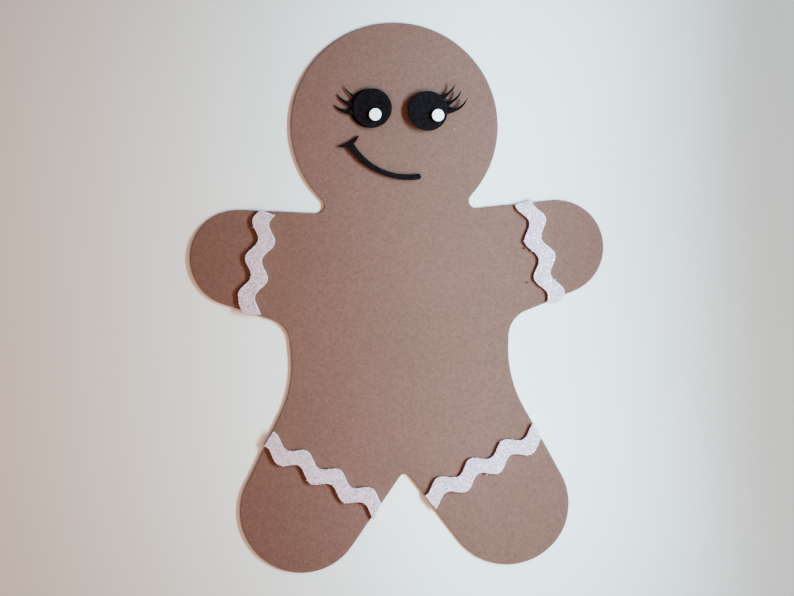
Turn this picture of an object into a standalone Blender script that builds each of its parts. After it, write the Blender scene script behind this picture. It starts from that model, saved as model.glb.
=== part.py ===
"""A gingerbread man cut from craft foam, lying face up with its glued-on trims.

Metres, +Z up. The figure lies on the XY plane, its head towards +Y, and the
origin is under the middle of its outline. Left and right are the viewer's:
left is -X. The body is one foam sheet. Four wavy glitter strips, a smile, and
two eyes with pupils and lashes are glued on its face.
Run with: blender --background --python part.py
"""
import math

import bmesh
import bpy
from mathutils import Vector

MM = 0.001

# Foam sheet and glue
SHEET = 2.0 * MM                # thickness of one foam sheet
GLUE = 0.3 * MM                 # glue line between stacked pieces
FACE_Z = SHEET + GLUE           # underside of everything glued on the body
SAGITTA = 0.02 * MM             # how far a facet may lie inside its arc

# Body outline: arcs joined by their common tangents
FIGURE_HEIGHT = 250.0 * MM
FIGURE_WIDTH = 189.0 * MM
HEAD_X = 0.6 * MM
HEAD_RADIUS = 47.3 * MM
NECK_FILLET = 3.3 * MM
CROTCH_FILLET = 2.7 * MM
CROTCH_AT = (0.8 * MM, -83.8 * MM)
BULGE, NOTCH = 1, -1            # which side of the outline an arc's centre is on
# The two sides were cut by hand and differ a little
SIDES = {
    "right": {
        "turn": 1,
        "shoulder_y": 39.3 * MM,
        "arm_y": 20.3 * MM, "arm_radius": 21.6 * MM,
        "armpit": (62.5 * MM, -19.9 * MM, 12.4 * MM),
        "waist": (103.0 * MM, -27.0 * MM, 53.3 * MM),
        "foot_x": 47.2 * MM, "foot_radius": 28.0 * MM, "sole_y": -123.9 * MM,
    },
    "left": {
        "turn": -1,
        "shoulder_y": 39.1 * MM,
        "arm_y": 19.5 * MM, "arm_radius": 22.1 * MM,
        "armpit": (61.7 * MM, -20.3 * MM, 11.8 * MM),
        "waist": (102.0 * MM, -28.2 * MM, 52.6 * MM),
        "foot_x": 47.0 * MM, "foot_radius": 28.0 * MM, "sole_y": -FIGURE_HEIGHT / 2,
    },
}

# Wavy strips: anchor, heading in degrees, and where the edges on the left and
# on the right of that heading start and end, measured along it
STRIP_WIDTH = 8.0 * MM
WAVE_HEIGHT = 2.15 * MM
WAVE_LENGTH = 17.1 * MM
WAVE_FACETS = 20
STRIPS = {
    "band_arm_left": ((-64.25, 14.7), -102.8, (-25.4, 20.6), (-26.6, 21.4)),
    "band_arm_right": ((65.4, 20.0), -77.2, (-22.4, 25.8), (-22.1, 24.4)),
    "band_leg_left": ((-35.7, -81.3), -31.5, (-30.9, 28.2), (-31.1, 29.4)),
    "band_leg_right": ((29.7, -82.55), 28.2, (-21.9, 37.1), (-20.7, 37.5)),
}

# Smile: a stroke between two circles, and a cheek crease across its left end
SMILE_INNER = ((7.1 * MM, 84.3 * MM), 28.9 * MM)
SMILE_OUTER = ((8.1 * MM, 87.7 * MM), 34.7 * MM)
SMILE_ENDS = ((-152.1, -82.4), (-149.7, -85.4))     # degrees, on each circle
CREASE_TIPS = ((-25.3 * MM, 69.3 * MM), (-15.8 * MM, 73.8 * MM))
CREASE_SAGS = (2.4 * MM, 0.65 * MM)

# Eyes
EYE_RADIUS = 8.95 * MM
EYE_HEIGHT = 2 * SHEET          # two layers of foam
PUPIL_RADIUS = 3.0 * MM
RIM_ROUNDING = 0.35 * MM
LASH_ROOT_RADIUS = 0.6 * MM
LASH_TIP_RADIUS = 0.12 * MM
LASH_ROOT_Z = 2.2 * MM          # above the underside of the eye
LASH_RISE = 2.3 * MM
LASH_GAP = GLUE + LASH_ROOT_RADIUS
LASH_FACETS = 9
# For each eye: its side, its centre, its pupil's place from that centre, and
# its lashes as (root angle in degrees, bend, tip), measured outward and up
EYES = {
    "left": (-1, (-9.25, 86.15), (1.3, -3.0), {
        "upper": (34.0, (10.9, 7.1), (12.9, 10.7)),
        "middle": (11.5, (13.7, 2.8), (15.7, 6.9)),
        "lower": (-10.5, (14.2, -1.7), (17.3, 2.0)),
    }),
    "right": (1, (16.2, 84.2), (4.45, -2.3), {
        "upper": (45.5, (10.2, 6.9), (12.7, 11.5)),
        "middle": (19.0, (13.3, 3.7), (15.4, 8.8)),
        "lower": (0.0, (15.0, -1.3), (18.1, 5.2)),
    }),
}

# Finish: linear colour and roughness
TAUPE_FOAM = ((0.38, 0.25, 0.21), 0.85)
GLITTER_FOAM = ((0.78, 0.76, 0.78), 0.45)
BLACK_FOAM = ((0.010, 0.010, 0.012), 0.75)
WHITE_FOAM = ((0.86, 0.86, 0.86), 0.7)


def clear_scene():
    """Remove every object of the scene."""
    for obj in list(bpy.data.objects):
        bpy.data.objects.remove(obj, do_unlink=True)


def collection(name):
    """A new collection in the scene."""
    made = bpy.data.collections.new(name)
    bpy.context.scene.collection.children.link(made)
    return made


def millimetres(point):
    """A point written in millimetres, as a vector in metres."""
    return Vector(point) * MM


def dress(obj, finish):
    """Give an object its own Principled material."""
    colour, roughness = finish
    material = bpy.data.materials.new(obj.name + "_finish")
    material.use_nodes = True
    shader = material.node_tree.nodes["Principled BSDF"]
    shader.inputs["Base Color"].default_value = (*colour, 1.0)
    shader.inputs["Roughness"].default_value = roughness
    shader.inputs["Metallic"].default_value = 0.0
    obj.data.materials.append(material)


def facet_angle(radius):
    """Widest angle a facet may take on a circle and stay within SAGITTA of it."""
    return 2 * math.acos(1 - SAGITTA / radius)


def arc(centre, radius, start, sweep):
    """Points along an arc, both ends included."""
    steps = max(2, math.ceil(abs(sweep) / facet_angle(radius)))
    angles = [start + sweep * i / steps for i in range(steps + 1)]
    return [(centre[0] + radius * math.cos(a), centre[1] + radius * math.sin(a)) for a in angles]


def tangent_normal(first, second):
    """Angle, to the right of travel, of the straight edge that joins two arcs."""
    (x1, y1, r1, side1), (x2, y2, r2, side2) = first, second
    run = math.hypot(x2 - x1, y2 - y1)
    lean = (side2 * r2 - side1 * r1) / run
    return math.atan2(y2 - y1, x2 - x1) - math.acos(max(-1.0, min(1.0, lean)))


def belt(wheels):
    """Closed clockwise outline that runs like a belt around a ring of arcs.

    Each wheel is (x, y, radius, side). A BULGE turns the belt to the right, a
    NOTCH to the left, and straight edges tangent to both join neighbours.
    """
    normals = [tangent_normal(wheel, after) for wheel, after in zip(wheels, wheels[1:] + wheels[:1])]
    outline = []
    for i, (x, y, radius, side) in enumerate(wheels):
        start = normals[i - 1] + (math.pi if side == BULGE else 0.0)
        sweep = (normals[i] - normals[i - 1]) % math.tau
        if side == BULGE:
            sweep -= math.tau
        outline += arc((x, y), radius, start, sweep)
    return outline


def side_wheels(side):
    """Arcs of one side of the outline, from the neck down to the foot."""
    head_y = FIGURE_HEIGHT / 2 - HEAD_RADIUS
    neck_y = side["shoulder_y"] + NECK_FILLET
    neck_reach = math.sqrt((HEAD_RADIUS + NECK_FILLET) ** 2 - (head_y - neck_y) ** 2)
    arm_reach = FIGURE_WIDTH / 2 - side["arm_radius"]
    foot_y = side["sole_y"] + side["foot_radius"]
    turn = side["turn"]
    return [
        (HEAD_X + turn * neck_reach, neck_y, NECK_FILLET, NOTCH),
        (turn * arm_reach, side["arm_y"], side["arm_radius"], BULGE),
        (turn * side["armpit"][0], *side["armpit"][1:], NOTCH),
        (turn * side["waist"][0], *side["waist"][1:], NOTCH),
        (turn * side["foot_x"], foot_y, side["foot_radius"], BULGE),
    ]


def body_outline():
    """Outline of the gingerbread man, clockwise from the head."""
    head = (HEAD_X, FIGURE_HEIGHT / 2 - HEAD_RADIUS, HEAD_RADIUS, BULGE)
    crotch = (*CROTCH_AT, CROTCH_FILLET, NOTCH)
    return belt([head, *side_wheels(SIDES["right"]), crotch, *reversed(side_wheels(SIDES["left"]))])


def strip_edge(offset, ends):
    """One wavy edge of a strip that runs along +X."""
    start, end = millimetres(ends)
    steps = math.ceil((end - start) / WAVE_LENGTH * WAVE_FACETS)
    stations = [start + (end - start) * i / steps for i in range(steps + 1)]
    return [(x, offset + WAVE_HEIGHT * math.sin(math.tau * x / WAVE_LENGTH)) for x in stations]


def strip_outline(left_ends, right_ends):
    """Outline of a wavy strip, whose two edges are the same wave."""
    left = strip_edge(STRIP_WIDTH / 2, left_ends)
    right = strip_edge(-STRIP_WIDTH / 2, right_ends)
    return left + right[::-1]


def smile_outline():
    """Outline of the smile's stroke, rounded at its right end."""
    edges = []
    for circle, ends in zip((SMILE_INNER, SMILE_OUTER), SMILE_ENDS):
        start, end = (math.radians(angle) for angle in ends)
        edges.append(arc(*circle, start, end - start))
    inner, outer = edges
    top, bottom = Vector(inner[-1]), Vector(outer[-1])
    up = top - bottom
    round_end = arc((top + bottom) / 2, up.length / 2, math.atan2(up.y, up.x), -math.pi)
    return inner + round_end[1:-1] + outer[::-1]


def crease_outline():
    """Outline of the cheek crease: two arcs of unlike depth between the same tips."""
    first, second = (Vector(tip) for tip in CREASE_TIPS)
    chord = second - first
    outward = Vector((chord.y, -chord.x)).normalized()
    edges = []
    for sag in CREASE_SAGS:
        radius = (chord.length ** 2 / 4 + sag ** 2) / (2 * sag)
        centre = (first + second) / 2 + outward * (sag - radius)
        start = math.atan2(first.y - centre.y, first.x - centre.x)
        edges.append(arc(centre, radius, start, 2 * math.asin(chord.length / 2 / radius)))
    deep, shallow = edges
    return deep + shallow[-2:0:-1]


def cut_from_sheet(name, outline, home, bottom=FACE_Z):
    """Flat piece of foam as a filled and extruded 2D curve, its underside at bottom."""
    curve = bpy.data.curves.new(name, "CURVE")
    curve.dimensions = "2D"
    curve.fill_mode = "BOTH"
    curve.extrude = SHEET / 2
    spline = curve.splines.new("POLY")
    spline.points.add(len(outline) - 1)
    for point, (x, y) in zip(spline.points, outline):
        point.co = (x, y, 0.0, 1.0)
    spline.use_cyclic_u = True
    piece = bpy.data.objects.new(name, curve)
    piece.location.z = bottom + SHEET / 2
    home.objects.link(piece)
    return piece


def as_mesh(piece):
    """Replace a curve object by a welded mesh object of the same name and place."""
    bpy.context.view_layer.update()
    evaluated = piece.evaluated_get(bpy.context.evaluated_depsgraph_get())
    mesh = bpy.data.meshes.new_from_object(evaluated)
    welded = bmesh.new()
    welded.from_mesh(mesh)
    bmesh.ops.remove_doubles(welded, verts=welded.verts, dist=0.01 * MM)
    welded.to_mesh(mesh)
    welded.free()
    name, place, home = piece.name, piece.matrix_world.copy(), piece.users_collection[0]
    bpy.data.objects.remove(piece, do_unlink=True)
    made = bpy.data.objects.new(name, mesh)
    made.matrix_world = place
    home.objects.link(made)
    return made


def disc(name, radius, height, home, bottom=0.0):
    """Round piece of foam with a slightly rounded rim."""
    mesh = bpy.data.meshes.new(name)
    solid = bmesh.new()
    bmesh.ops.create_cone(
        solid, cap_ends=True, segments=math.ceil(math.tau / facet_angle(radius)),
        radius1=radius, radius2=radius, depth=height,
    )
    solid.to_mesh(mesh)
    solid.free()
    piece = bpy.data.objects.new(name, mesh)
    piece.location.z = bottom + height / 2
    home.objects.link(piece)
    rim = piece.modifiers.new("rim", "BEVEL")
    rim.width = RIM_ROUNDING
    rim.segments = 2
    rim.limit_method = "ANGLE"
    return piece


def lash(name, side, root_angle, bend, tip, home):
    """One lash: a tapered, upward-curling prong that starts at the eye's side."""
    angle = math.radians(root_angle)
    root = Vector((math.cos(angle), math.sin(angle))) * (EYE_RADIUS + LASH_GAP)
    curve = bpy.data.curves.new(name, "CURVE")
    curve.dimensions = "3D"
    curve.bevel_depth = LASH_ROOT_RADIUS
    curve.bevel_resolution = 2
    curve.use_fill_caps = True
    spline = curve.splines.new("POLY")
    spline.points.add(LASH_FACETS)
    for i, point in enumerate(spline.points):
        t = i / LASH_FACETS
        flat = root * (1 - t) ** 2 + bend * 2 * t * (1 - t) + tip * t ** 2
        point.co = (side * flat.x, flat.y, LASH_ROOT_Z + LASH_RISE * t ** 1.5, 1.0)
        point.radius = 1 + (LASH_TIP_RADIUS / LASH_ROOT_RADIUS - 1) * t
    prong = bpy.data.objects.new(name, curve)
    home.objects.link(prong)
    return prong


def build_bands(home):
    """The four wavy strips across the arms and legs."""
    for name, (anchor, heading, left_ends, right_ends) in STRIPS.items():
        band = cut_from_sheet(name, strip_outline(left_ends, right_ends), home)
        band.location.xy = millimetres(anchor)
        band.rotation_euler.z = math.radians(heading)
        dress(band, GLITTER_FOAM)


def build_smile(home, guides):
    """The smile: its stroke joined to the cheek crease."""
    smile = as_mesh(cut_from_sheet("smile", smile_outline(), home))
    crease = as_mesh(cut_from_sheet("crease_guide", crease_outline(), guides))
    crease.hide_render = True
    crease.display_type = "WIRE"
    join = smile.modifiers.new("crease", "BOOLEAN")
    join.operation = "UNION"
    join.object = crease
    dress(smile, BLACK_FOAM)


def build_eye(name, home):
    """One eye: its disc, its pupil and its lashes, placed by one empty."""
    side, centre, pupil_at, lashes = EYES[name]
    place = bpy.data.objects.new("place_eye_" + name, None)
    place.location = (*millimetres(centre), FACE_Z)
    home.objects.link(place)
    eye = disc("eye_" + name, EYE_RADIUS, EYE_HEIGHT, home)
    dress(eye, BLACK_FOAM)
    pupil = disc("pupil_" + name, PUPIL_RADIUS, SHEET, home, bottom=EYE_HEIGHT + GLUE)
    pupil.location.xy = millimetres(pupil_at)
    dress(pupil, WHITE_FOAM)
    pieces = [eye, pupil]
    for level, (root_angle, bend, tip) in lashes.items():
        prong_name = "lash_" + name + "_" + level
        prong = lash(prong_name, side, root_angle, millimetres(bend), millimetres(tip), home)
        dress(prong, BLACK_FOAM)
        pieces.append(prong)
    for piece in pieces:
        piece.parent = place


def main():
    """Build the whole figure."""
    clear_scene()
    figure = collection("foam_gingerbread_man")
    guides = collection("guides")
    dress(cut_from_sheet("body", body_outline(), figure, bottom=0.0), TAUPE_FOAM)
    build_bands(figure)
    build_smile(figure, guides)
    for name in EYES:
        build_eye(name, figure)


main()
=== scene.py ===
"""Looks of a handmade gingerbread man cut from craft foam.

Metres, +Z up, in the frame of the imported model: the figure lies face up on
Z = 0, its head towards +Y, and left and right are the viewer's. Every flat
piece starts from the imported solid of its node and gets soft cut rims, walls
with open cells and the hand cutter's small errors. Discs, lashes, glitter,
nibs and glue are built here from named sizes.
"""
import logging
import math
import random
from collections.abc import Iterable
from dataclasses import dataclass, field
from enum import Enum

import bmesh
import bpy
from mathutils import Matrix, Vector, noise
from mathutils.bvhtree import BVHTree
from mathutils.kdtree import KDTree


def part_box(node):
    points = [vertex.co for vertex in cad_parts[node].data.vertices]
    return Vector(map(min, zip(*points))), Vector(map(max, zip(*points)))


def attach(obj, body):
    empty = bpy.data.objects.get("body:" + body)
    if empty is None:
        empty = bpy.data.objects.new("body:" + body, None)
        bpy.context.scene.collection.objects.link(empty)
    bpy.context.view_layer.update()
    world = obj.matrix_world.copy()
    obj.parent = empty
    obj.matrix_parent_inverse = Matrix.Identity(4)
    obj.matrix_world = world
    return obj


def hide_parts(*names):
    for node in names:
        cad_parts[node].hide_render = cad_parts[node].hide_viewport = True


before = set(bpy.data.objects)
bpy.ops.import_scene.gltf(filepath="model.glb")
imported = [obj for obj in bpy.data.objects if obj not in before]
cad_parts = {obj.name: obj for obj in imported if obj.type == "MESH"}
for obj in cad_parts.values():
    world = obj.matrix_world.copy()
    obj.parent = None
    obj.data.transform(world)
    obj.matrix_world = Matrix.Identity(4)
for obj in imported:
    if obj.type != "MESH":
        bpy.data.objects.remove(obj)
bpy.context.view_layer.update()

LOG = logging.getLogger("foam_figure")

MM = 0.001
MERGE = 0.01 * MM               # vertices nearer than this are one
FLAT = math.radians(0.5)        # faces that turn less than this are one plane
UP = Vector((0.0, 0.0, 1.0))

SHEET = 2.0 * MM                # thickness of one foam sheet
FACE_Z = SHEET                  # the body's face
PRESS = 0.15 * MM               # how far glued pieces press into what is under them
SWELL = 0.10 * MM               # how far the lying sheet rises and dips
SWELL_LENGTH = 55.0 * MM        # length of those swells

Colour = tuple[float, float, float]
GLITTER_TONE: Colour = (0.94, 0.71, 0.87)      # cast of the glitter's coat


class Slot(Enum):
    """The record's material slots."""

    TAUPE = "taupe_foam"
    GLITTER = "glitter_foam"
    BLACK = "black_foam"
    WHITE = "white_foam"
    GLUE = "dried_glue"


class Side(Enum):
    """A side of the figure, as the viewer sees it, and the way it points along X."""

    LEFT = ("left", -1)
    RIGHT = ("right", 1)

    @property
    def word(self) -> str:
        """The side's word in node names."""
        return self.value[0]

    @property
    def way(self) -> int:
        """-1 for the left and 1 for the right."""
        return self.value[1]


# ---------------------------------------------------------------- materials


class Graph:
    """Adds and links the nodes of one shader tree."""

    def __init__(self, tree: bpy.types.NodeTree) -> None:
        """Work in a tree.

        Args:
            tree: the material's or the group's node tree.
        """
        self.tree = tree

    def add(self, kind: str, inputs: dict[str | int, object] | None = None, **settings: object) -> bpy.types.Node:
        """Add a node.

        Args:
            kind: the node's type, without its ShaderNode prefix.
            inputs: a number, a colour, or a socket to link, for each input.
            settings: the node's own properties.

        Returns:
            The new node.
        """
        node = self.tree.nodes.new("ShaderNode" + kind)
        for name, value in settings.items():
            setattr(node, name, value)
        for key, value in (inputs or {}).items():
            self.feed(node.inputs[key], value)
        return node

    def feed(self, socket: bpy.types.NodeSocket, value: object) -> None:
        """Link a socket to another, or set its value."""
        if isinstance(value, bpy.types.NodeSocket):
            self.tree.links.new(value, socket)
        elif isinstance(value, tuple) and len(value) == 3 and socket.type == "RGBA":
            socket.default_value = (*value, 1.0)
        else:
            socket.default_value = value

    def math(self, operation: str, first: object, second: object = 0.0, clamp: bool = False) -> bpy.types.NodeSocket:
        """Result of a Math node."""
        node = self.add("Math", {0: first, 1: second}, operation=operation, use_clamp=clamp)
        return node.outputs[0]

    def vector_math(self, operation: str, first: object, second: object = None) -> bpy.types.NodeSocket:
        """Result of a Vector Math node."""
        inputs = {0: first} if second is None else {0: first, 1: second}
        return self.add("VectorMath", inputs, operation=operation).outputs[0]

    def span(self, value: object, low: float, high: float, to_low: float = 0.0,
             to_high: float = 1.0) -> bpy.types.NodeSocket:
        """A value's range stretched to another range and clamped to it."""
        ends = {"Value": value, "From Min": low, "From Max": high, "To Min": to_low, "To Max": to_high}
        return self.add("MapRange", ends, clamp=True).outputs[0]

    def mix(self, factor: object, first: object, second: object, blend: str = "MIX") -> bpy.types.NodeSocket:
        """Colour mixed from two."""
        node = self.add("Mix", {0: factor, 6: first, 7: second}, data_type="RGBA", blend_type=blend)
        return node.outputs[2]

    def blend_values(self, factor: object, first: object, second: object) -> bpy.types.NodeSocket:
        """Number mixed from two."""
        return self.add("Mix", {0: factor, 2: first, 3: second}, data_type="FLOAT").outputs[0]

    def scaled(self, colour: object, amount: object) -> bpy.types.NodeSocket:
        """Colour times a number."""
        node = self.add("VectorMath", {0: colour, "Scale": amount}, operation="SCALE")
        return node.outputs[0]

    def group(self, tree: bpy.types.NodeTree, inputs: dict[str, object]) -> bpy.types.Node:
        """Place a node group.

        Args:
            tree: the group.
            inputs: a number or a socket for each of its inputs.

        Returns:
            The group node.
        """
        node = self.tree.nodes.new("ShaderNodeGroup")
        node.node_tree = tree
        for name, value in inputs.items():
            self.feed(node.inputs[name], value)
        return node


def open_group(name: str, inputs: dict[str, float | None], outputs: dict[str, str]
               ) -> tuple[bpy.types.NodeTree, Graph, bpy.types.Node, bpy.types.Node]:
    """Start a shader node group.

    Args:
        name: the group's name.
        inputs: default of each number, or None for a vector.
        outputs: kind of each output socket, Float or Color.

    Returns:
        The group's tree, a graph to fill it with, and its input and output nodes.
    """
    tree = bpy.data.node_groups.new(name, "ShaderNodeTree")
    for label, default in inputs.items():
        kind = "NodeSocketVector" if default is None else "NodeSocketFloat"
        socket = tree.interface.new_socket(name=label, in_out="INPUT", socket_type=kind)
        if default is not None:
            socket.default_value = default
    for label, kind in outputs.items():
        tree.interface.new_socket(name=label, in_out="OUTPUT", socket_type="NodeSocket" + kind)
    graph = Graph(tree)
    return tree, graph, tree.nodes.new("NodeGroupInput"), tree.nodes.new("NodeGroupOutput")


def foam_skin_group() -> bpy.types.NodeTree:
    """Skin of a foam sheet: slow mottling, fine grain and scattered pores."""
    tree, graph, given, out = open_group(
        "foam_skin",
        {"Vector": None, "Grain Scale": 1400.0, "Mottle Scale": 22.0},
        {"Mottle": "Float", "Grain": "Float", "Pores": "Float", "Height": "Float"},
    )
    place, scale = given.outputs["Vector"], given.outputs["Grain Scale"]
    mottle = graph.add("TexNoise", {"Vector": place, "Scale": given.outputs["Mottle Scale"], "Detail": 4.0,
                                    "Roughness": 0.55})
    fine = graph.add("TexNoise", {"Vector": place, "Scale": scale, "Detail": 2.0, "Roughness": 0.6})
    coarse = graph.add("TexNoise", {"Vector": place, "Scale": graph.math("MULTIPLY", scale, 0.42), "Detail": 1.0})
    grain = graph.span(graph.blend_values(0.35, fine.outputs[0], coarse.outputs[0]), 0.32, 0.68)
    cells = graph.add("TexVoronoi", {"Vector": place, "Scale": graph.math("MULTIPLY", scale, 0.62)})
    chosen = graph.add("SeparateColor", {0: cells.outputs["Color"]})
    pits = graph.span(cells.outputs["Distance"], 0.30, 0.12)
    pores = graph.math("MULTIPLY", pits, graph.span(chosen.outputs[0], 0.80, 0.95))
    height = graph.math("SUBTRACT", grain, graph.math("MULTIPLY", pores, 1.2))
    graph.feed(out.inputs["Mottle"], graph.span(mottle.outputs[0], 0.34, 0.66))
    graph.feed(out.inputs["Grain"], grain)
    graph.feed(out.inputs["Pores"], pores)
    graph.feed(out.inputs["Height"], height)
    return tree


def cut_cells_group() -> bpy.types.NodeTree:
    """Open cells on a cut wall of foam, with a mask for painted shade inside them."""
    tree, graph, given, out = open_group(
        "cut_cells", {"Vector": None, "Cell Scale": 2600.0}, {"Cells": "Float", "Height": "Float"})
    place, scale = given.outputs["Vector"], given.outputs["Cell Scale"]
    cells = graph.add("TexVoronoi", {"Vector": place, "Scale": scale}, feature="DISTANCE_TO_EDGE")
    drag = graph.add("TexNoise", {"Vector": place, "Scale": graph.math("MULTIPLY", scale, 0.25), "Detail": 2.0})
    skins = graph.span(cells.outputs["Distance"], 0.02, 0.25)
    # Cells is high inside each cell; the finishes darken the cells' insides with it, painted shade in their pits
    graph.feed(out.inputs["Cells"], skins)
    graph.feed(out.inputs["Height"], graph.blend_values(0.4, graph.math("SUBTRACT", 1.0, skins), drag.outputs[0]))
    return tree


def lint_group() -> bpy.types.NodeTree:
    """Lint and dust: short fibres that lie two ways, and soft specks."""
    tree, graph, given, out = open_group(
        "lint", {"Vector": None, "Fibre Scale": 900.0, "Amount": 0.5}, {"Lint": "Float"})
    found = None
    for turn in (0.6, 2.1):
        laid = graph.add("Mapping", {"Vector": given.outputs["Vector"], "Rotation": (0.0, 0.0, turn),
                                     "Scale": (1.0, 0.12, 1.0)})
        fibres = graph.add("TexNoise", {"Vector": laid.outputs[0], "Scale": given.outputs["Fibre Scale"],
                                        "Detail": 1.0, "Distortion": 0.6})
        threads = graph.span(fibres.outputs[0], 0.66, 0.76)
        found = threads if found is None else graph.math("MAXIMUM", found, threads)
    specks = graph.add("TexNoise", {"Vector": given.outputs["Vector"],
                                    "Scale": graph.math("MULTIPLY", given.outputs["Fibre Scale"], 0.7),
                                    "Detail": 2.0})
    dust = graph.math("MAXIMUM", found, graph.span(specks.outputs[0], 0.55, 0.85, 0.0, 0.8))
    graph.feed(out.inputs["Lint"], graph.math("MULTIPLY", dust, given.outputs["Amount"]))
    return tree


def pearl_group() -> bpy.types.NodeTree:
    """Pale rainbow tint of one glitter flake, from its own random number."""
    tree, graph, given, out = open_group(
        "pearl", {"Number": 0.5, "Saturation": 0.1, "Brightness": 0.9}, {"Color": "Color"})
    hue = graph.math("FRACT", graph.math("MULTIPLY", given.outputs["Number"], 7.3))
    depth = graph.math("FRACT", graph.math("MULTIPLY", given.outputs["Number"], 31.7))
    saturation = graph.math("MULTIPLY", given.outputs["Saturation"], depth)
    shade = graph.math("FRACT", graph.math("MULTIPLY", given.outputs["Number"], 83.1))
    value = graph.math("MULTIPLY", given.outputs["Brightness"], graph.span(shade, 0.0, 1.0, 0.8, 1.0))
    tint = graph.add("CombineColor", {0: hue, 1: saturation, 2: value}, mode="HSV")
    graph.feed(out.inputs["Color"], tint.outputs[0])
    return tree


@dataclass(frozen=True)
class Effects:
    """The node groups that the finishes share."""

    foam_skin: bpy.types.NodeTree
    cut_cells: bpy.types.NodeTree
    lint: bpy.types.NodeTree
    pearl: bpy.types.NodeTree

    @classmethod
    def build(cls) -> "Effects":
        """Build every group once."""
        return cls(foam_skin_group(), cut_cells_group(), lint_group(), pearl_group())


def open_material(name: str) -> tuple[bpy.types.Material, Graph, bpy.types.Node]:
    """Start a material.

    Args:
        name: the material's name.

    Returns:
        The material, a graph to fill it with, and its Principled shader.
    """
    material = bpy.data.materials.new(name)
    material.use_nodes = True
    return material, Graph(material.node_tree), material.node_tree.nodes["Principled BSDF"]


@dataclass(frozen=True)
class FoamFinish:
    """Matte foam sheet with its grain, its mottling, a painted highlight along its rims, and the open cells of its
    cut walls with painted shade inside them.
    """

    name: str
    colour: Colour
    tint: Colour                # what the mottling drifts towards
    wall: Colour                # colour of the cut walls
    grain: float = 0.15         # share by which the grain lightens and darkens
    pore_shade: float = 0.21    # how much darker a pore is
    painted_rim_highlight: float = 0.06     # painted highlight: how much lighter the rim is
    lint: float = 0.0
    lint_colour: Colour = (0.5, 0.5, 0.5)
    roughness: float = 0.82
    specular: float = 0.3
    grain_scale: float = 1750.0
    mottle_scale: float = 22.0
    relief: float = 0.025 * MM

    def build(self, effects: Effects) -> bpy.types.Material:
        """Build the material.

        Args:
            effects: the shared node groups.

        Returns:
            The material.
        """
        material, graph, shader = open_material(self.name)
        place = graph.add("TexCoord").outputs["Object"]
        skin = graph.group(effects.foam_skin, {"Vector": place, "Grain Scale": self.grain_scale,
                                               "Mottle Scale": self.mottle_scale})
        cells = graph.group(effects.cut_cells, {"Vector": place})
        cut = graph.add("Attribute", attribute_name="cut").outputs["Fac"]
        rim = graph.add("Attribute", attribute_name="rim").outputs["Fac"]
        grain = skin.outputs["Grain"]

        colour = graph.mix(skin.outputs["Mottle"], self.colour, self.tint)
        colour = graph.scaled(colour, graph.span(grain, 0.0, 1.0, 1.0 - self.grain, 1.0 + self.grain))
        colour = graph.scaled(colour, graph.span(skin.outputs["Pores"], 0.0, 1.0, 1.0, 1.0 - self.pore_shade))
        # painted highlight: the colour is lighter along the rims
        colour = graph.scaled(colour, graph.span(rim, 0.0, 1.0, 1.0, 1.0 + self.painted_rim_highlight))
        if self.lint:
            lint = graph.group(effects.lint, {"Vector": place, "Amount": self.lint})
            colour = graph.mix(lint.outputs["Lint"], colour, self.lint_colour)
        # painted shade: the cut wall is darker inside its open cells
        wall = graph.scaled(self.wall, graph.span(cells.outputs["Cells"], 0.0, 1.0, 1.1, 0.8))
        graph.feed(shader.inputs["Base Color"], graph.mix(cut, colour, wall))

        dry = graph.span(grain, 0.0, 1.0, self.roughness - 0.08, self.roughness + 0.06)
        graph.feed(shader.inputs["Roughness"], dry)
        height = graph.blend_values(cut, skin.outputs["Height"], cells.outputs["Height"])
        bump = graph.add("Bump", {"Strength": 1.0, "Distance": self.relief, "Height": height})
        graph.feed(shader.inputs["Normal"], bump.outputs[0])
        shader.inputs["Specular IOR Level"].default_value = self.specular
        return material


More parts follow.
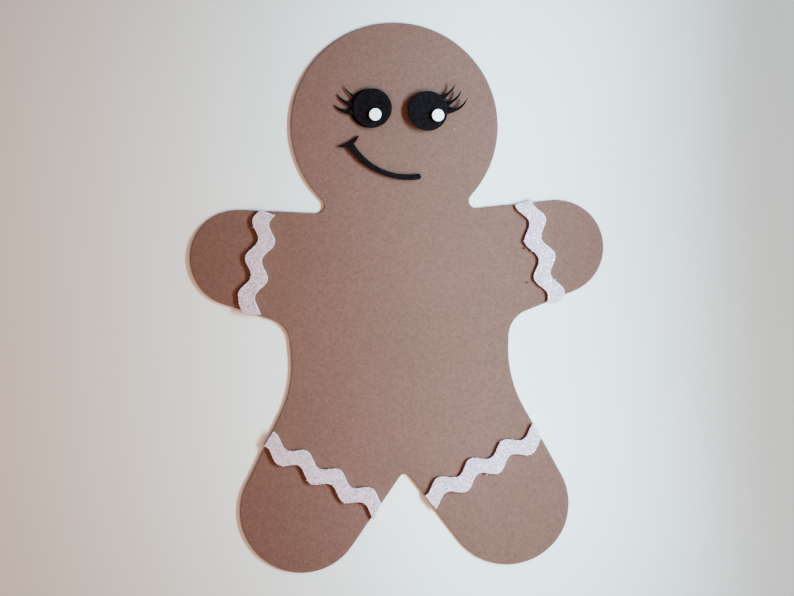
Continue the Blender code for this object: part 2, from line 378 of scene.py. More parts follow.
@dataclass(frozen=True)
class GlitterFinish:
    """White foam coated with glitter: pale rainbow flakes that each lean their own way."""

    name: str = "glitter_foam_finish"
    brightness: float = 0.775
    tone: Colour = GLITTER_TONE
    core: Colour = (0.72, 0.70, 0.72)
    flake_scale: float = 1900.0
    saturation: float = 0.24
    painted_rim_highlight: float = 0.14     # painted highlight: how much whiter the rim is
    lean: float = 0.55          # how far the flakes lean

    def build(self, effects: Effects) -> bpy.types.Material:
        """Build the material.

        Args:
            effects: the shared node groups.

        Returns:
            The material.
        """
        material, graph, shader = open_material(self.name)
        place = graph.add("TexCoord").outputs["Object"]
        normal = graph.add("NewGeometry").outputs["Normal"]
        cut = graph.add("Attribute", attribute_name="cut").outputs["Fac"]
        rim = graph.add("Attribute", attribute_name="rim").outputs["Fac"]
        flakes = graph.add("TexVoronoi", {"Vector": place, "Scale": self.flake_scale})
        random_colour = flakes.outputs["Color"]
        number = graph.add("SeparateColor", {0: random_colour}).outputs[1]
        tint = graph.group(effects.pearl, {"Number": number, "Saturation": self.saturation,
                                           "Brightness": self.brightness}).outputs[0]
        skin = graph.group(effects.foam_skin, {"Vector": place, "Grain Scale": 1300.0, "Mottle Scale": 60.0})
        tint = graph.scaled(tint, graph.span(skin.outputs["Grain"], 0.0, 1.0, 0.84, 1.12))
        tint = graph.vector_math("MULTIPLY", tint, self.tone)
        # painted highlight: the coat is whiter along the rims
        tint = graph.scaled(tint, graph.span(rim, 0.0, 1.0, 1.0, 1.0 + self.painted_rim_highlight))
        cells = graph.group(effects.cut_cells, {"Vector": place})
        # painted shade: the core is darker inside its open cells
        core = graph.scaled(self.core, graph.span(cells.outputs["Cells"], 0.0, 1.0, 1.05, 0.85))
        graph.feed(shader.inputs["Base Color"], graph.mix(cut, tint, core))

        shine = graph.span(number, 0.0, 1.0, 0.28, 0.6)
        graph.feed(shader.inputs["Roughness"], graph.blend_values(cut, shine, 0.85))
        leaning = graph.vector_math("SUBTRACT", random_colour, (0.5, 0.5, 0.5))
        strength = graph.span(cut, 0.0, 1.0, self.lean, 0.0)
        leaning = graph.scaled(leaning, strength)
        turned = graph.vector_math("NORMALIZE", graph.vector_math("ADD", normal, leaning))
        graph.feed(shader.inputs["Normal"], turned)
        shader.inputs["Specular IOR Level"].default_value = 0.7
        return material


@dataclass(frozen=True)
class FlakeFinish:
    """Loose glitter flakes on the coat: thin pearly film."""

    name: str = "glitter_flake_finish"
    saturation: float = 0.35
    brightness: float = 0.88
    tone: Colour = GLITTER_TONE

    def build(self, effects: Effects) -> bpy.types.Material:
        """Build the material.

        Args:
            effects: the shared node groups.

        Returns:
            The material.
        """
        material, graph, shader = open_material(self.name)
        number = graph.add("Attribute", attribute_name="number").outputs["Fac"]
        tint = graph.group(effects.pearl, {"Number": number, "Saturation": self.saturation,
                                           "Brightness": self.brightness}).outputs[0]
        graph.feed(shader.inputs["Base Color"], graph.vector_math("MULTIPLY", tint, self.tone))
        graph.feed(shader.inputs["Roughness"], graph.span(number, 0.0, 1.0, 0.18, 0.4))
        graph.feed(shader.inputs["Metallic"], graph.span(number, 0.3, 1.0, 0.0, 0.45))
        shader.inputs["Coat Weight"].default_value = 0.4
        shader.inputs["Coat Roughness"].default_value = 0.15
        return material


@dataclass(frozen=True)
class GlueFinish:
    """Dried clear glue over black foam: grey, cloudy and faintly glossy."""

    name: str = "dried_glue_finish"
    colour: Colour = (0.10, 0.068, 0.064)
    cloud: Colour = (0.24, 0.150, 0.142)

    def build(self, effects: Effects) -> bpy.types.Material:
        """Build the material.

        Args:
            effects: the shared node groups; not used.

        Returns:
            The material.
        """
        material, graph, shader = open_material(self.name)
        place = graph.add("TexCoord").outputs["Object"]
        clouds = graph.add("TexNoise", {"Vector": place, "Scale": 1500.0, "Detail": 3.0})
        haze = graph.span(clouds.outputs[0], 0.35, 0.7)
        graph.feed(shader.inputs["Base Color"], graph.mix(haze, self.colour, self.cloud))
        graph.feed(shader.inputs["Roughness"], graph.span(haze, 0.0, 1.0, 0.4, 0.6))
        bump = graph.add("Bump", {"Strength": 0.6, "Distance": 0.05 * MM, "Height": clouds.outputs[0]})
        graph.feed(shader.inputs["Normal"], bump.outputs[0])
        return material


@dataclass(frozen=True)
class FloorFinish:
    """Plain pale tabletop."""

    name: str = "floor_finish"
    colour: Colour = (0.84, 0.775, 0.79)

    def build(self) -> bpy.types.Material:
        """Build the material."""
        material, graph, shader = open_material(self.name)
        place = graph.add("TexCoord").outputs["Object"]
        tone = graph.add("TexNoise", {"Vector": place, "Scale": 3.0, "Detail": 2.0}).outputs[0]
        graph.feed(shader.inputs["Base Color"],
                   graph.scaled(self.colour, graph.span(tone, 0.3, 0.7, 0.98, 1.02)))
        shader.inputs["Roughness"].default_value = 0.9
        shader.inputs["Specular IOR Level"].default_value = 0.2
        return material


TAUPE = FoamFinish(
    "taupe_foam_finish", colour=(0.280, 0.1455, 0.129), tint=(0.264, 0.1435, 0.121), wall=(0.242, 0.1315, 0.112),
)
BLACK = FoamFinish(
    "black_foam_finish", colour=(0.0195, 0.0137, 0.0168), tint=(0.0345, 0.0238, 0.0305), wall=(0.009, 0.0082, 0.009),
    grain=0.25, pore_shade=0.5, painted_rim_highlight=0.2, lint=0.06, lint_colour=(0.12, 0.12, 0.14),
    roughness=0.8, specular=0.2, mottle_scale=480.0, grain_scale=1100.0,
)
WHITE = FoamFinish(
    "white_foam_finish", colour=(1.0, 0.97, 0.99), tint=(0.98, 0.95, 0.96), wall=(0.75, 0.75, 0.74),
    grain=0.05, pore_shade=0.16, painted_rim_highlight=0.0, roughness=0.5, specular=0.5, mottle_scale=300.0,
)


# ------------------------------------------------------------------- meshes


def swell(x: float, y: float) -> float:
    """Height by which the lying body rises or dips at a place."""
    return SWELL * noise.noise(Vector((x, y, 0.0)) / SWELL_LENGTH)


def solid_of(node: str) -> bmesh.types.BMesh:
    """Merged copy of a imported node, with each flat side as one face.

    Args:
        node: the node's name.

    Returns:
        The copy, for the caller to shape and free.
    """
    shape = bmesh.new()
    shape.from_mesh(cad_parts[node].data)
    bmesh.ops.remove_doubles(shape, verts=shape.verts, dist=MERGE)
    bmesh.ops.dissolve_limit(shape, angle_limit=FLAT, verts=shape.verts, edges=shape.edges)
    return shape


def heights(shape: bmesh.types.BMesh) -> tuple[float, float]:
    """Lowest and highest Z of a shape."""
    levels = [vertex.co.z for vertex in shape.verts]
    return min(levels), max(levels)


def slice_grid(shape: bmesh.types.BMesh, pitch: float) -> None:
    """Cut a shape along X and Y into a grid, so that its faces can bend.

    Args:
        shape: the shape to cut.
        pitch: distance between the cuts.
    """
    for axis in (0, 1):
        places = [vertex.co[axis] for vertex in shape.verts]
        normal = Vector((0.0, 0.0, 0.0))
        normal[axis] = 1.0
        for step in range(1, math.ceil((max(places) - min(places)) / pitch)):
            bmesh.ops.bisect_plane(
                shape, geom=shape.verts[:] + shape.edges[:] + shape.faces[:], dist=MERGE,
                plane_co=normal * (min(places) + step * pitch), plane_no=normal,
            )


def rim_edges(shape: bmesh.types.BMesh, level: float) -> list[bmesh.types.BMEdge]:
    """Edges of the outline at a level."""
    return [edge for edge in shape.edges
            if all(abs(vertex.co.z - level) < MERGE for vertex in edge.verts)
            and edge.calc_face_angle(0.0) > math.radians(45)]


def fine_noise(place: Vector, length: float, seed: float = 0.0) -> Vector:
    """Smooth random vector at a place, that changes over a length."""
    return noise.noise_vector(place / length + Vector((seed, seed, seed)))


def finish_piece(name: str, shape: bmesh.types.BMesh, material: bpy.types.Material,
                 stands_for: Iterable[str] = (), crease: float = 40.0) -> bpy.types.Object:
    """Make a shape an object on the figure's body, and report it.

    Args:
        name: the piece's name.
        shape: its mesh in the frame's coordinates, which is freed.
        material: its finish.
        stands_for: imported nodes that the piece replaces.
        crease: edges that turn more than this, in degrees, stay sharp.

    Returns:
        The new object.
    """
    crowded = [face for face in shape.faces if len(face.verts) > 4]
    bmesh.ops.triangulate(shape, faces=crowded)
    mesh = bpy.data.meshes.new(name)
    shape.to_mesh(mesh)
    shape.free()
    mesh.shade_smooth()
    mesh.set_sharp_from_angle(angle=math.radians(crease))
    piece = bpy.data.objects.new(name, mesh)
    bpy.context.scene.collection.objects.link(piece)
    mesh.materials.append(material)
    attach(piece, "root")
    for node in stands_for:
        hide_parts(node)
    LOG.info("%s: %d faces", name, len(mesh.polygons))
    return piece


@dataclass(frozen=True)
class Nudge:
    """A place where the scissors strayed far."""

    share: tuple[float, float]  # its place across and up the piece's box, each from 0 to 1
    reach: float
    shift: tuple[float, float]

    def pull(self, place: Vector, low: Vector, high: Vector) -> Vector:
        """How far a place is moved.

        Args:
            place: the place.
            low: lowest corner of the piece's box.
            high: highest corner of the piece's box.

        Returns:
            The move, which fades out at the nudge's reach.
        """
        across, up = self.share
        centre = Vector((low.x + (high.x - low.x) * across, low.y + (high.y - low.y) * up))
        near = max(0.0, 1.0 - (place.xy - centre).length_squared / self.reach ** 2)
        return Vector((*self.shift, 0.0)) * near ** 2


@dataclass
class FoamSheet:
    """A flat piece cut by hand from a foam sheet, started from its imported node."""

    node: str
    slot: Slot
    material: bpy.types.Material
    under: float                # where its underside goes
    rim: float = 0.30 * MM      # rounding of its cut rims
    border: float = 1.0 * MM    # width of the border along its rim
    pitch: float = 2.5 * MM     # grid of its faces
    wander: float = 0.12 * MM   # how far the scissors strayed
    wander_length: float = 14.0 * MM
    hollow: float = 0.08 * MM   # how far the cut walls draw in halfway up
    fray: float = 0.0           # how far the torn rim strays
    fray_length: float = 0.9 * MM
    nudges: tuple[Nudge, ...] = ()

    def build(self) -> bpy.types.Object:
        """Build the piece.

        Returns:
            The finished object.
        """
        shape = solid_of(self.node)
        low, top = heights(shape)
        for vertex in shape.verts:
            if vertex.co.z < low + MERGE:
                vertex.co.z = self.under
        self.round_rims(shape, top)
        self.add_border(shape, top)
        slice_grid(shape, self.pitch)
        self.mark_and_bend(shape, top)
        return finish_piece("foam_" + self.node, shape, self.material, [self.node])

    def round_rims(self, shape: bmesh.types.BMesh, top: float) -> None:
        """Round the upper and the lower rim, and cut the walls halfway up."""
        edges = rim_edges(shape, top) + rim_edges(shape, self.under)
        bmesh.ops.bevel(shape, geom=edges, offset=self.rim, offset_type="OFFSET", segments=3, profile=0.5,
                        affect="EDGES", material=-1, clamp_overlap=True)
        bmesh.ops.bisect_plane(shape, geom=shape.verts[:] + shape.edges[:] + shape.faces[:], dist=MERGE,
                               plane_co=UP * (top + self.under) / 2, plane_no=UP)

    def add_border(self, shape: bmesh.types.BMesh, top: float) -> None:
        """Set a narrow border along the rim of the face."""
        faces = [face for face in shape.faces
                 if face.normal.z > 0.99 and face.calc_center_median().z > top - MERGE]
        if self.border:
            bmesh.ops.inset_region(shape, faces=faces, thickness=self.border, use_even_offset=True)

    def mark_and_bend(self, shape: bmesh.types.BMesh, top: float) -> None:
        """Mark the cut walls, and the rims for the finish's painted highlight, then stray, fray, draw in and swell.

        Args:
            shape: the piece's mesh.
            top: height of its face.
        """
        cut_layer = shape.verts.layers.float.new("cut")
        rim_highlight_layer = shape.verts.layers.float.new("rim")
        shape.normal_update()
        outline = [vertex for vertex in shape.verts if self.depth(vertex, top) >= 1.0]
        near = KDTree(len(outline))
        for index, vertex in enumerate(outline):
            near.insert((vertex.co.x, vertex.co.y, 0.0), index)
        near.balance()
        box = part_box(self.node)
        reach = max(self.border, self.rim)
        half = (top - self.under) / 2
        for vertex in shape.verts:
            depth = min(1.0, self.depth(vertex, top))
            flat = Vector((vertex.co.x, vertex.co.y, 0.0))
            away = near.find(flat)[2]
            vertex[cut_layer] = depth
            # the rim mark is where the finish paints a highlight along the outline
            vertex[rim_highlight_layer] = max(0.0, 1.0 - away / reach) * (1.0 - depth)
            edge_share = max(0.0, 1.0 - away / reach)
            shift = fine_noise(flat, self.wander_length) * self.wander
            if self.fray:
                shift += fine_noise(flat, self.fray_length, 7.0) * self.fray * edge_share
                shift += fine_noise(vertex.co, self.fray_length * 0.5, 3.0) * self.fray * 0.5 * depth
            middle = 1.0 - abs(vertex.co.z - self.under - half) / half
            shift -= vertex.normal * (self.hollow * depth * middle)
            for nudge in self.nudges:
                shift += nudge.pull(flat, *box)
            vertex.co.xy += shift.xy
            vertex.co.z += swell(flat.x, flat.y) * min(1.0, vertex.co.z / FACE_Z)

    def depth(self, vertex: bmesh.types.BMVert, top: float) -> float:
        """How deep a vertex lies in the cut wall, 0 on either face and 1 from one rounding in."""
        return min(top - vertex.co.z, vertex.co.z - self.under) / self.rim


@dataclass(frozen=True)
class Nib:
    """A torn nib on a strip's edge, in millimetres."""

    along: float                # from the strip's start
    side: int                   # 1 on the left of the strip's heading, -1 on its right
    reach: float = 0.5          # how far it sticks out
    width: float = 0.45


@dataclass(frozen=True)
class StripPlan:
    """What sets one strip apart from the others."""

    node: str
    heading: float              # degrees
    nibs: tuple[Nib, ...]
    fray: float = 0.08 * MM
    crumbs: int = 3             # tiny nibs scattered along it
    nudges: tuple[Nudge, ...] = ()


@dataclass
class GlitterStrip(FoamSheet):
    """A wavy strip of glitter foam across an arm or a leg."""

    rim: float = 0.32 * MM
    border: float = 0.6 * MM
    pitch: float = 0.8 * MM
    wander: float = 0.12 * MM
    wander_length: float = 6.0 * MM


@dataclass
class Glitter:
    """Loose flakes that stand proud of the strips' coat."""

    strips: list[bpy.types.Object]
    material: bpy.types.Material
    density: float = 2.6e6      # flakes on a square metre
    radii: tuple[float, float] = (0.16 * MM, 0.28 * MM)
    thickness: float = 0.03 * MM
    lean: float = math.radians(16)
    sides: int = 6
    batch: int = 150            # flakes made at a time
    seed: int = 5

    def build(self) -> bpy.types.Object:
        """Scatter the flakes over every strip.

        Returns:
            The finished object.
        """
        chance = random.Random(self.seed)
        places = [place for strip in self.strips for place in self.scatter(strip, chance)]
        coat = bmesh.new()
        for start in range(0, len(places), self.batch):
            handful = bmesh.new()
            number = handful.verts.layers.float.new("number")
            for place in places[start:start + self.batch]:
                made = bmesh.ops.create_cone(
                    handful, cap_ends=True, segments=self.sides, radius1=1.0, radius2=1.0, depth=1.0, matrix=place)
                shade = chance.random()
                for vertex in made["verts"]:
                    vertex[number] = shade
            mesh = bpy.data.meshes.new("handful")
            handful.to_mesh(mesh)
            handful.free()
            coat.from_mesh(mesh)
            bpy.data.meshes.remove(mesh)
        return finish_piece("glitter_flakes", coat, self.material, crease=20.0)

    def scatter(self, strip: bpy.types.Object, chance: random.Random) -> list[Matrix]:
        """Places of the flakes on one strip.

        Args:
            strip: the strip's finished object.
            chance: where the random numbers come from.

        Returns:
            One placing matrix for each flake, its size included.
        """
        mesh = bmesh.new()
        mesh.from_mesh(strip.data)
        tree = BVHTree.FromBMesh(mesh)
        lows = [min(vertex.co[axis] for vertex in mesh.verts) for axis in range(2)]
        highs = [max(vertex.co[axis] for vertex in mesh.verts) for axis in range(2)]
        mesh.free()
        tries = int(self.density * (highs[0] - lows[0]) * (highs[1] - lows[1]))
        places = []
        for _ in range(tries):
            start = Vector((chance.uniform(lows[0], highs[0]), chance.uniform(lows[1], highs[1]), 20.0 * MM))
            radius = chance.uniform(*self.radii)
            lean = Matrix.Rotation(chance.uniform(-self.lean, self.lean), 4, "X")
            turn = Matrix.Rotation(chance.uniform(0.0, math.tau), 4, "Z")
            spot, normal, _, _ = tree.ray_cast(start, -UP)
            if spot is None or normal.z < 0.8:
                continue
            size = Matrix.Diagonal((radius, radius, self.thickness, 1.0))
            sits = Matrix.Translation(spot + UP * self.thickness * 0.8)
            places.append(sits @ turn @ lean @ size)
        return places


@dataclass
class Nibs:
    """Torn nibs of foam that the scissors left along the strips' edges."""

    strips: dict[StripPlan, bpy.types.Object]
    material: bpy.types.Material
    radii: tuple[float, float] = (0.12 * MM, 0.26 * MM)     # of the scattered ones
    seed: int = 11

    def build(self) -> bpy.types.Object:
        """Place the nibs along the strips' upper rims.

        Returns:
            The finished object.
        """
        chance = random.Random(self.seed)
        torn = bmesh.new()
        for plan, strip in self.strips.items():
            rim = [vertex for vertex in strip.data.vertices if 0.3 < vertex.normal.z < 0.8]
            for nib in plan.nibs:
                self.add(torn, self.find(rim, plan, nib), nib.reach * MM, nib.width * MM / 2)
            for vertex in chance.sample(rim, plan.crumbs):
                radius = chance.uniform(*self.radii)
                self.add(torn, vertex, radius * chance.uniform(0.8, 1.6), radius)
        for vertex in torn.verts:
            vertex.co += fine_noise(vertex.co, 0.25 * MM) * 0.07 * MM
        return finish_piece("strip_nibs", torn, self.material, crease=80.0)

    @staticmethod
    def find(rim: list[bpy.types.MeshVertex], plan: StripPlan, nib: Nib) -> bpy.types.MeshVertex:
        """Vertex of a strip's rim where a nib grows.

        Args:
            rim: the vertices of the strip's upper rim.
            plan: the strip's plan.
            nib: the nib.

        Returns:
            The rim's vertex nearest to the nib's place.
        """
        heading = math.radians(plan.heading)
        ahead = Vector((math.cos(heading), math.sin(heading), 0.0))
        across = UP.cross(ahead)
        start = min(vertex.co.dot(ahead) for vertex in rim)
        edge = [vertex for vertex in rim if vertex.normal.dot(across) * nib.side > 0.3]
        return min(edge, key=lambda vertex: abs(vertex.co.dot(ahead) - start - nib.along * MM))

    @staticmethod
    def add(torn: bmesh.types.BMesh, root: bpy.types.MeshVertex, reach: float, radius: float) -> None:
        """Add one nib.

        Args:
            torn: the nibs' mesh.
            root: where on the rim it grows.
            reach: how far it sticks out.
            radius: half its width.
        """
        outward = Vector((root.normal.x, root.normal.y, 0.0)).normalized()
        length = reach / 2 + 0.1 * MM
        turn = Matrix.Rotation(math.atan2(outward.y, outward.x), 4, "Z")
        size = Matrix.Diagonal((length, radius, radius * 0.8, 1.0))
        place = Matrix.Translation(root.co + outward * (reach - length) + UP * 0.05 * MM)
        bmesh.ops.create_icosphere(torn, subdivisions=2, radius=1.0, matrix=place @ turn @ size)


def cut_disc(shape: bmesh.types.BMesh, centre: Vector, radius: float, low: float, high: float, rim: float,
             stray: float = 0.0, dish: float = 0.0, seed: float = 0.0) -> None:
    """Add a round piece of foam to a shape, with rounded rims and marks for the finish.

    Args:
        shape: where the disc goes; it needs the cut and rim layers.
        centre: the disc's centre, whose Z isn't used.
        radius: the disc's radius.
        low: height of its underside.
        high: height of its face.
        rim: rounding of its rims.
        stray: how far the cutter strayed from the circle.
        dish: how far the face dips in the middle.
        seed: makes each disc its own.
    """
    disc = bmesh.new()
    bmesh.ops.create_circle(disc, cap_ends=True, segments=72, radius=radius)
    base = disc.faces[:]
    walls = bmesh.ops.extrude_face_region(disc, geom=base)
    raised = [item for item in walls["geom"] if isinstance(item, bmesh.types.BMVert)]
    bmesh.ops.translate(disc, vec=UP * (high - low), verts=raised)
    disc.normal_update()
    bmesh.ops.recalc_face_normals(disc, faces=disc.faces)
    edges = rim_edges(disc, 0.0) + rim_edges(disc, high - low)
    bmesh.ops.bevel(disc, geom=edges, offset=rim, offset_type="OFFSET", segments=4, profile=0.5,
                    affect="EDGES", material=-1)
    bmesh.ops.bisect_plane(disc, geom=disc.verts[:] + disc.edges[:] + disc.faces[:], dist=MERGE,
                           plane_co=UP * (high - low) / 2, plane_no=UP)
    steps = 5
    for step in range(steps):
        disc.normal_update()
        faces = [face for face in disc.faces if face.normal.z > 0.99 and len(face.verts) > 40]
        bmesh.ops.inset_region(disc, faces=faces, thickness=(radius - rim) / (steps + 1), use_even_offset=True)
    cut = disc.verts.layers.float.new("cut")
    highlight_rim = disc.verts.layers.float.new("rim")
    for vertex in disc.verts:
        out = vertex.co.xy.length / radius
        depth = min(1.0, min(vertex.co.z, high - low - vertex.co.z) / rim)
        vertex[cut] = depth
        # the rim mark is where the finish paints a highlight along the face's edge
        vertex[highlight_rim] = max(0.0, (out - 0.86) / 0.14) * (1.0 - depth)
        strayed = noise.noise(Vector((vertex.co.x, vertex.co.y, seed)) / (radius * 0.8)) * stray
        vertex.co.xy *= 1.0 + strayed * out / radius
        if vertex.co.z > (high - low) / 2:
            vertex.co.z -= dish * max(0.0, 1.0 - out ** 2)
        vertex.co += Vector((centre.x, centre.y, low))
        vertex.co.z += swell(centre.x, centre.y)
    mesh = bpy.data.meshes.new("disc")
    disc.to_mesh(mesh)
    disc.free()
    shape.from_mesh(mesh)
    bpy.data.meshes.remove(mesh)


def open_shape() -> bmesh.types.BMesh:
    """Empty shape with the layers that the foam finishes read."""
    shape = bmesh.new()
    shape.verts.layers.float.new("cut")
    shape.verts.layers.float.new("rim")
    return shape


@dataclass(frozen=True)
class LashCurve:
    """Course of one lash from its eye's centre, in millimetres outward and up."""

    level: str                  # upper, middle or lower
    root_angle: float           # degrees
    bend: tuple[float, float]
    tip: tuple[float, float]
    width: float = 1.0          # how much wider or slimmer than the others


@dataclass(frozen=True)
class EyePlan:
    """How one eye was put together."""

    side: Side
    slip: tuple[float, float]           # how far the lower disc slipped, in metres
    squeeze: float                      # share of its height left at its outer lower edge
    lash_rise: float
    lash_height: float                  # how much flatter the lashes are than whole slivers
    lashes: tuple[LashCurve, ...]

    def squeezed(self, shape: bmesh.types.BMesh, centre: Vector, radius: float) -> None:
        """Press the stack down towards its outer lower edge.

        Args:
            shape: the stack.
            centre: the eye's centre.
            radius: the eye's radius.
        """
        down = Vector((self.side.way, -0.6)).normalized()
        for vertex in shape.verts:
            reach = ((vertex.co - centre).xy.dot(down) / radius + 1.0) / 2.0
            share = 1.0 - (1.0 - self.squeeze) * min(1.0, max(0.0, reach))
            vertex.co.z = FACE_Z + (vertex.co.z - FACE_Z) * share


@dataclass
class Eye:
    """One eye: two stacked black discs, a white pupil and three lashes."""

    plan: EyePlan
    black: bpy.types.Material
    white: bpy.types.Material
    rim: float = 0.35 * MM
    pupil_rim: float = 0.45 * MM
    lash_root: tuple[float, float] = (1.70 * MM, 1.00 * MM)     # half its width and half its height
    lash_stem: tuple[float, float] = (0.85 * MM, 1.00 * MM)     # the same past the root
    lash_tip: tuple[float, float] = (0.07 * MM, 0.35 * MM)
    lash_tapers: tuple[float, float] = (0.8, 0.35)
    stations: int = 18

    def build(self) -> list[bpy.types.Object]:
        """Build the whole eye.

        Returns:
            Its finished objects.
        """
        low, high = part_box("eye_" + self.plan.side.word)
        centre, radius = (low + high) / 2, (high.x - low.x) / 2
        pieces = [self.build_discs(centre, radius, high.z), self.build_pupil(centre, radius)]
        for curve in self.plan.lashes:
            pieces.append(self.build_lash(curve, centre, radius))
        return pieces

    def build_discs(self, centre: Vector, radius: float, top: float) -> bpy.types.Object:
        """Build the two black discs.

        Args:
            centre: the eye's centre.
            radius: the discs' radius.
            top: height of the upper face.

        Returns:
            The finished object.
        """
        shape = open_shape()
        seam = (FACE_Z + top) / 2
        way = self.plan.side.way
        cut_disc(shape, centre + Vector((*self.plan.slip, 0.0)), radius - 0.1 * MM, FACE_Z - PRESS,
                 seam + 0.02 * MM, self.rim, stray=0.12 * MM, seed=way)
        cut_disc(shape, centre, radius, seam, top, self.rim, stray=0.10 * MM, dish=0.05 * MM, seed=3.0 + way)
        self.plan.squeezed(shape, centre, radius)
        node = "eye_" + self.plan.side.word
        return finish_piece("foam_" + node, shape, self.black, [node])

    def build_pupil(self, centre: Vector, radius: float) -> bpy.types.Object:
        """Build the punched white dot.

        Args:
            centre: the eye's centre.
            radius: the eye's radius.

        Returns:
            The finished object.
        """
        node = "pupil_" + self.plan.side.word
        low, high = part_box(node)
        shape = open_shape()
        cut_disc(shape, (low + high) / 2, (high.x - low.x) / 2 - 0.14 * MM, low.z - 0.3 * MM - PRESS, high.z, self.pupil_rim,
                 stray=0.05 * MM, dish=-0.05 * MM, seed=9.0 + self.plan.side.way)
        self.plan.squeezed(shape, centre, radius)
        return finish_piece("foam_" + node, shape, self.white, [node])

    def build_lash(self, curve: LashCurve, centre: Vector, radius: float) -> bpy.types.Object:
        """Build one lash, a tapered sliver of foam that curls up.

        Args:
            curve: its course.
            centre: the eye's centre.
            radius: the eye's radius.

        Returns:
            The finished object.
        """
        node = f"lash_{self.plan.side.word}_{curve.level}"
        low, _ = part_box(node)
        shape = open_shape()
        angle = math.radians(curve.root_angle)
        root = Vector((math.cos(angle), math.sin(angle))) * (radius - 1.2 * MM)
        bend, tip = Vector(curve.bend) * MM, Vector(curve.tip) * MM
        start_z = FACE_Z + (centre.z - FACE_Z + 0.3 * MM) * (1.0 + self.plan.squeeze) / 2

        def place(t: float) -> Vector:
            """Point of the lash's middle line."""
            flat = root * (1 - t) ** 2 + bend * 2 * t * (1 - t) + tip * t ** 2
            height = start_z + self.plan.lash_rise * t ** 1.5
            return Vector((centre.x + self.plan.side.way * flat.x, centre.y + flat.y, height))

        def station(t: float) -> Matrix:
            """Placing matrix of the lash's section, its size included."""
            ahead = (place(min(1.0, t + 0.01)) - place(max(0.0, t - 0.01))).normalized()
            across = ahead.cross(UP).normalized()
            flare = max(0.0, 1.0 - t / 0.45) ** 2
            width, height = (
                (tip + (stem - tip) * (1.0 - t) ** power + (root_size - stem) * flare) * share
                for root_size, stem, tip, power, share in zip(
                    self.lash_root, self.lash_stem, self.lash_tip, self.lash_tapers,
                    (curve.width, self.plan.lash_height)))
            turn = Matrix((across * width, across.cross(ahead) * height, ahead * MM)).transposed().to_4x4()
            return Matrix.Translation(place(t)) @ turn

        now = station(0.0)
        made = bmesh.ops.create_circle(shape, cap_ends=True, segments=10, radius=1.0, matrix=now)
        cap = made["verts"][0].link_faces[0]
        for step in range(1, self.stations + 1):
            after = station(step / self.stations)
            grown = bmesh.ops.extrude_face_region(shape, geom=[cap])["geom"]
            if step > 1:
                bmesh.ops.delete(shape, geom=[cap], context="FACES_ONLY")
            verts = [item for item in grown if isinstance(item, bmesh.types.BMVert)]
            cap = next(item for item in grown if isinstance(item, bmesh.types.BMFace))
            bmesh.ops.transform(shape, matrix=after @ now.inverted(), verts=verts)
            now = after
        bmesh.ops.recalc_face_normals(shape, faces=shape.faces)
        return finish_piece("foam_" + node, shape, self.black, [node], crease=75.0)


@dataclass
class Blobs:
    """Small uneven lumps: beads of glue, crumbs on the body, and dark spots that paint a shadow."""

    name: str
    slot: Slot
    material: bpy.types.Material
    places: list[tuple[float, float, float]]            # millimetres
    sizes: list[tuple[float, float, float]]             # half sizes in millimetres
    turns: list[float] = field(default_factory=list)    # degrees
    roughen: float = 0.25

    def build(self) -> bpy.types.Object:
        """Build the lumps as one piece.

        Returns:
            The finished object.
        """
        shape = open_shape()
        turns = self.turns or [0.0] * len(self.places)
        for place, size, turn in zip(self.places, self.sizes, turns):
            matrix = (Matrix.Translation(Vector(place) * MM) @ Matrix.Rotation(math.radians(turn), 4, "Z")
                      @ Matrix.Diagonal((*(Vector(size) * MM), 1.0)))
            made = bmesh.ops.create_icosphere(shape, subdivisions=3, radius=1.0, matrix=matrix)
            for vertex in made["verts"]:
                vertex.co += fine_noise(vertex.co, max(size) * 0.8 * MM) * min(size) * MM * self.roughen
        return finish_piece(self.name, shape, self.material, crease=80.0)


# -------------------------------------------------------------------- stage


@dataclass(frozen=True)
class Softbox:
    """A soft lamp."""

    name: str
    place: tuple[float, float, float]
    aim: tuple[float, float, float]
    size: tuple[float, float]           # its other side runs along Y
    power: float
    spread: float
    colour: Colour

    def hang(self) -> None:
        """Hang the lamp and aim it."""
        data = bpy.data.lights.new(self.name, "AREA")
        data.shape = "RECTANGLE"
        data.size, data.size_y = self.size
        data.energy = self.power
        data.color = self.colour
        data.spread = self.spread
        lamp = bpy.data.objects.new(self.name, data)
        lamp.location = self.place
        away = (Vector(self.place) - Vector(self.aim)).normalized()
        across = Vector((0.0, 1.0, 0.0)).cross(away).normalized()
        lamp.rotation_euler = Matrix((across, away.cross(across), away)).transposed().to_euler()
        bpy.context.scene.collection.objects.link(lamp)


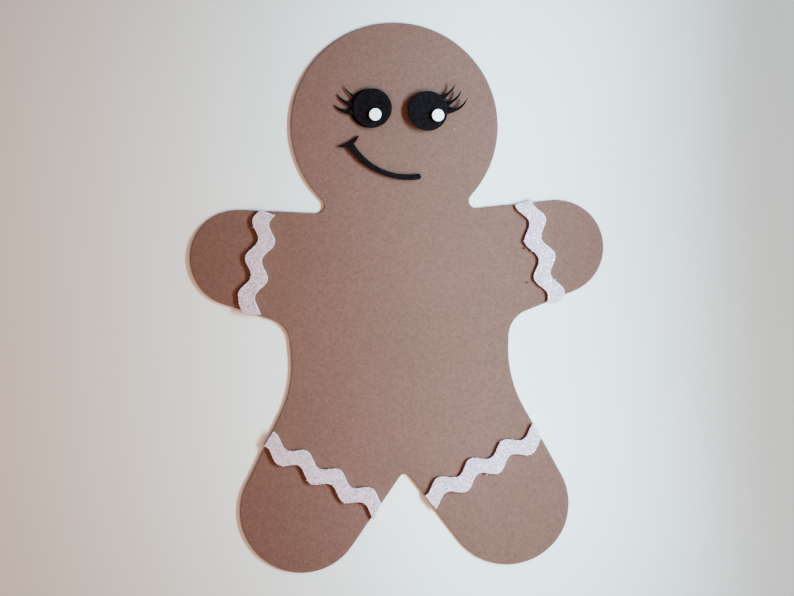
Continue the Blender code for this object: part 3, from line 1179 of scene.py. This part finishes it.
@dataclass
class Studio:
    """Floor, camera and light."""

    span: float = 362.7 * MM            # width of the view on the figure's face
    aim: tuple[float, float] = (-0.45 * MM, -0.77 * MM)
    turn: float = math.radians(-1.6845)
    lens: float = 200.0
    sensor: float = 36.0
    lamps: tuple[Softbox, ...] = (
        Softbox("key", (0.215, 0.008, 0.250), (0.026, 0.004, FACE_Z), (0.037, 0.397), 0.322, math.radians(55),
                (0.48, 0.885, 1.0)),
        Softbox("overhead", (0.10, -0.24, 0.8), (-0.08, -0.01, FACE_Z), (0.4, 0.2), 0.252, math.radians(56), (1.0, 0.49, 0.11)),
        Softbox("edge", (0.34, 0.0, 0.270), (0.212, 0.0, 0.0), (0.06, 0.7), 0.112, math.radians(40), (0.462, 0.895, 1.0)),
    )
    fill_colour: Colour = (0.30, 0.30, 0.30)
    floor_side: float = 3.0

    def build(self) -> None:
        """Build the studio."""
        self.lay_floor()
        self.place_camera()
        self.place_lights()
        view = bpy.context.scene.view_settings
        view.view_transform = "AgX"
        view.look = "AgX - Very High Contrast"

    def lay_floor(self) -> None:
        """Lay a plain pale floor."""
        shape = bmesh.new()
        bmesh.ops.create_grid(shape, x_segments=2, y_segments=2, size=self.floor_side / 2)
        mesh = bpy.data.meshes.new("floor")
        shape.to_mesh(mesh)
        shape.free()
        mesh.materials.append(FloorFinish().build())
        floor = bpy.data.objects.new("floor", mesh)
        bpy.context.scene.collection.objects.link(floor)

    def place_camera(self) -> None:
        """Look straight down on the figure."""
        data = bpy.data.cameras.new("camera")
        data.lens, data.sensor_width = self.lens, self.sensor
        camera = bpy.data.objects.new("camera", data)
        height = FACE_Z + self.span * self.lens / self.sensor
        camera.location = (*self.aim, height)
        camera.rotation_euler = (0.0, 0.0, self.turn)
        bpy.context.scene.collection.objects.link(camera)
        bpy.context.scene.camera = camera

    def place_lights(self) -> None:
        """Hang the lamps in a dim room."""
        for lamp in self.lamps:
            lamp.hang()
        world = bpy.data.worlds.new("room")
        world.use_nodes = True
        background = world.node_tree.nodes["Background"]
        background.inputs["Color"].default_value = (*self.fill_colour, 1.0)
        background.inputs["Strength"].default_value = 1.0
        bpy.context.scene.world = world


EYES = (
    EyePlan(
        Side.LEFT, slip=(-1.3 * MM, 0.1 * MM), squeeze=0.62, lash_rise=-1.5 * MM, lash_height=0.4,
        lashes=(
            LashCurve("upper", 34.0, (10.9, 7.1), (12.9, 10.7), 0.65),
            LashCurve("middle", 11.5, (13.7, 2.8), (15.7, 6.9), 1.1),
            LashCurve("lower", -10.5, (14.2, -1.7), (17.3, 2.0), 1.4),
        ),
    ),
    EyePlan(
        Side.RIGHT, slip=(0.15 * MM, -0.1 * MM), squeeze=1.0, lash_rise=2.3 * MM, lash_height=1.0,
        lashes=(
            LashCurve("upper", 45.5, (10.2, 6.9), (12.7, 11.5)),
            LashCurve("middle", 19.0, (13.3, 3.7), (15.4, 8.8)),
            LashCurve("lower", 0.0, (15.0, -1.3), (18.1, 5.2), 1.15),
        ),
    ),
)
STRIPS = (
    StripPlan(
        "band_arm_left", -102.8, (Nib(8.4, -1, 0.55), Nib(30.7, -1), Nib(7.9, 1, 0.4)),
        nudges=(Nudge((0.10, 0.08), 5.0 * MM, (-1.15 * MM, 0.0)), Nudge((0.12, 0.0), 2.2 * MM, (0.3 * MM, 0.5 * MM))),
    ),
    StripPlan(
        "band_arm_right", -77.2,
        (Nib(17.0, 1, 0.7), Nib(37.9, 1, 0.7, 0.7), Nib(17.4, -1, 0.4, 0.8), Nib(22.5, -1, 0.5, 0.9)),
    ),
    StripPlan(
        "band_leg_left", -31.5,
        (Nib(11.5, 1), Nib(30.8, 1, 0.4), Nib(45.3, 1), Nib(42.7, 1, 0.3), Nib(12.0, -1, 0.4), Nib(25.0, -1, 0.6),
         Nib(26.0, -1), Nib(27.2, -1), Nib(29.8, -1, 0.4), Nib(32.1, -1, 0.7), Nib(39.3, -1), Nib(44.7, -1, 0.6),
         Nib(52.9, -1)),
        fray=0.14 * MM, crumbs=10,
    ),
    StripPlan(
        "band_leg_right", 28.2,
        (Nib(29.9, -1, 1.3, 0.5), Nib(33.6, -1), Nib(49.7, -1), Nib(56.2, -1, 0.6), Nib(12.9, -1, 0.3),
         Nib(15.4, 1, 0.6), Nib(28.9, 1, 0.4), Nib(31.4, 1), Nib(42.2, 1, 0.35), Nib(47.3, 1, 0.4)),
        fray=0.14 * MM, crumbs=10,
    ),
)


def main() -> None:
    """Build the figure piece by piece, and then its studio."""
    logging.basicConfig(level=logging.INFO, format="%(message)s")
    effects = Effects.build()
    taupe, black, white = (finish.build(effects) for finish in (TAUPE, BLACK, WHITE))
    glitter = GlitterFinish().build(effects)
    flakes = FlakeFinish().build(effects)
    glue = GlueFinish().build(effects)

    FoamSheet("body", Slot.TAUPE, taupe, under=0.0).build()
    strips = {
        plan: GlitterStrip(plan.node, Slot.GLITTER, glitter, under=FACE_Z - PRESS, fray=plan.fray,
                           nudges=plan.nudges).build()
        for plan in STRIPS
    }
    Glitter(list(strips.values()), flakes).build()
    Nibs(strips, glitter).build()
    FoamSheet("smile", Slot.BLACK, black, under=FACE_Z - PRESS, rim=0.25 * MM, border=0.0, pitch=0.8 * MM,
              wander=0.08 * MM, wander_length=5.0 * MM).build()
    for plan in EYES:
        Eye(plan, black, white).build()
    Blobs("glue_beads", Slot.GLUE, glue, [(24.7, 89.6, 4.4), (26.4, 86.2, 4.2), (27.4, 86.0, 3.2)],
          [(0.75, 0.95, 0.8), (0.9, 0.75, 0.7), (0.6, 0.5, 1.0)], [20.0, 0.0, 0.0]).build()
    # Two dark lumps left of the right arm's strip: the upper one is painted shadow, where a nib's shadow falls; the
    # lower one is a dark speck on the body.
    Blobs("foam_crumbs", Slot.BLACK, black, [(58.0, 20.2, 2.1), (58.9, 4.6, 2.1)],
          [(0.45, 0.35, 0.2), (0.4, 0.3, 0.2)]).build()
    Blobs("glitter_crumb", Slot.GLITTER, glitter, [(28.1, 75.5, 2.1)], [(0.28, 0.22, 0.12)]).build()
    Studio().build()


if __name__ == "__main__":
    main()
